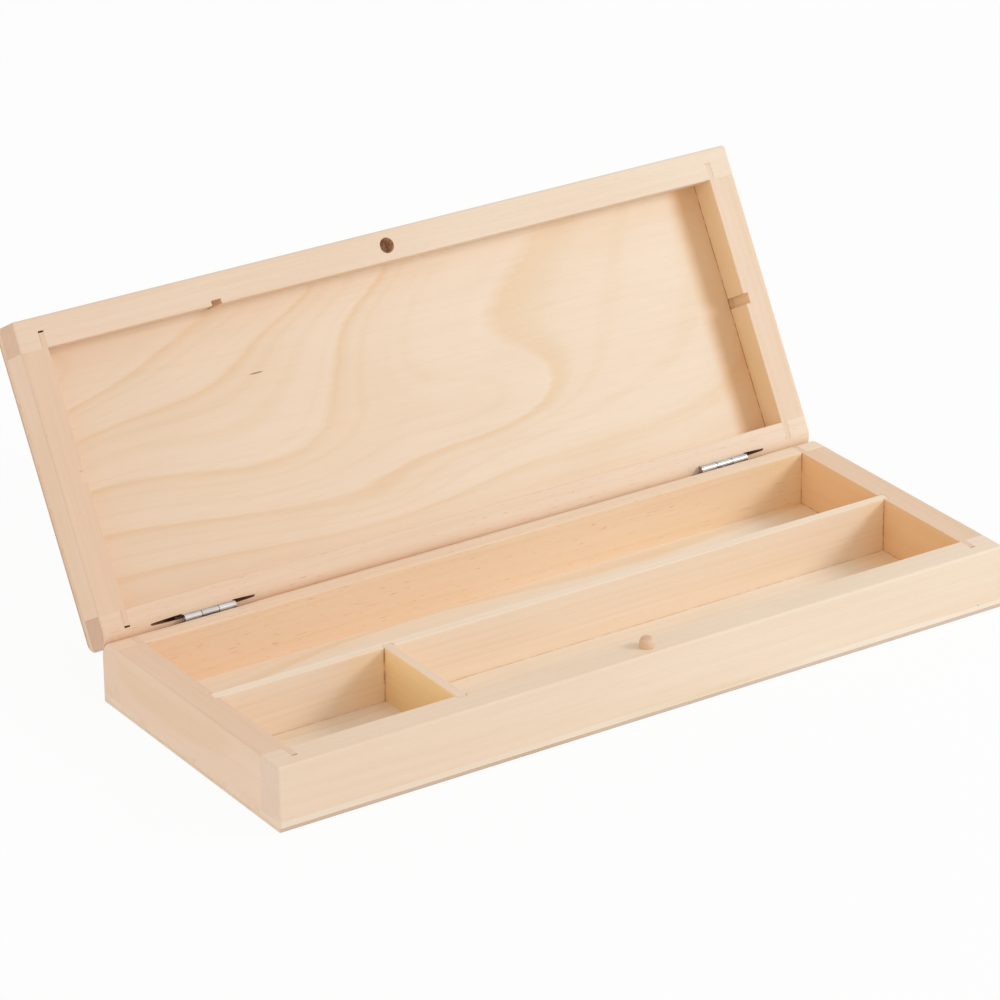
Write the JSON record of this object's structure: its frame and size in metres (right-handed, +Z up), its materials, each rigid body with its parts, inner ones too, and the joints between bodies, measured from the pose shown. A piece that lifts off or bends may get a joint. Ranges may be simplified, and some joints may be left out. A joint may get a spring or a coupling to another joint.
{
  "type": "hinged pencil box",
  "caption": "Shallow rectangular wooden pencil box with a hinged lid that leans back open, a divided tray, lock-jointed corners and a peg that keeps the lid in line.",
  "frame": {"origin": "centre of the tray's flat underside, which stands on the table", "axes": "+X along the box's length to the right, +Y from front to back towards the hinges, +Z up"},
  "size_m": [0.23, 0.1402, 0.0936],
  "materials": {
    "rail_wood": "sanded, unfinished",
    "plywood": "sanded, unfinished",
    "divider_wood": "sanded, unfinished",
    "peg_wood": "turned, unfinished",
    "hinge_steel": "bright"
  },
  "bodies": {
    "tray": {"tray_front_rail": "rail_wood", "tray_back_rail": "rail_wood", "tray_left_end": "rail_wood", "tray_right_end": "rail_wood", "tray_bottom_panel": "plywood", "long_divider": "divider_wood", "short_divider": "divider_wood", "closing_peg": "peg_wood", "left_hinge_tray_leaf": "hinge_steel", "left_hinge_pin": "hinge_steel", "right_hinge_tray_leaf": "hinge_steel", "right_hinge_pin": "hinge_steel"},
    "lid": {"lid_front_rail": "rail_wood", "lid_back_rail": "rail_wood", "lid_left_end": "rail_wood", "lid_right_end": "rail_wood", "lid_top_panel": "plywood", "left_hinge_lid_leaf": "hinge_steel", "right_hinge_lid_leaf": "hinge_steel"}
  },
  "joints": [
    {"name": "lid_hinge", "type": "hinge", "parent": "tray", "child": "lid", "pos_m": [0, 0.04244, 0.01855], "axis": [1, 0, 0], "range_deg": [0, 120]}
  ]
}
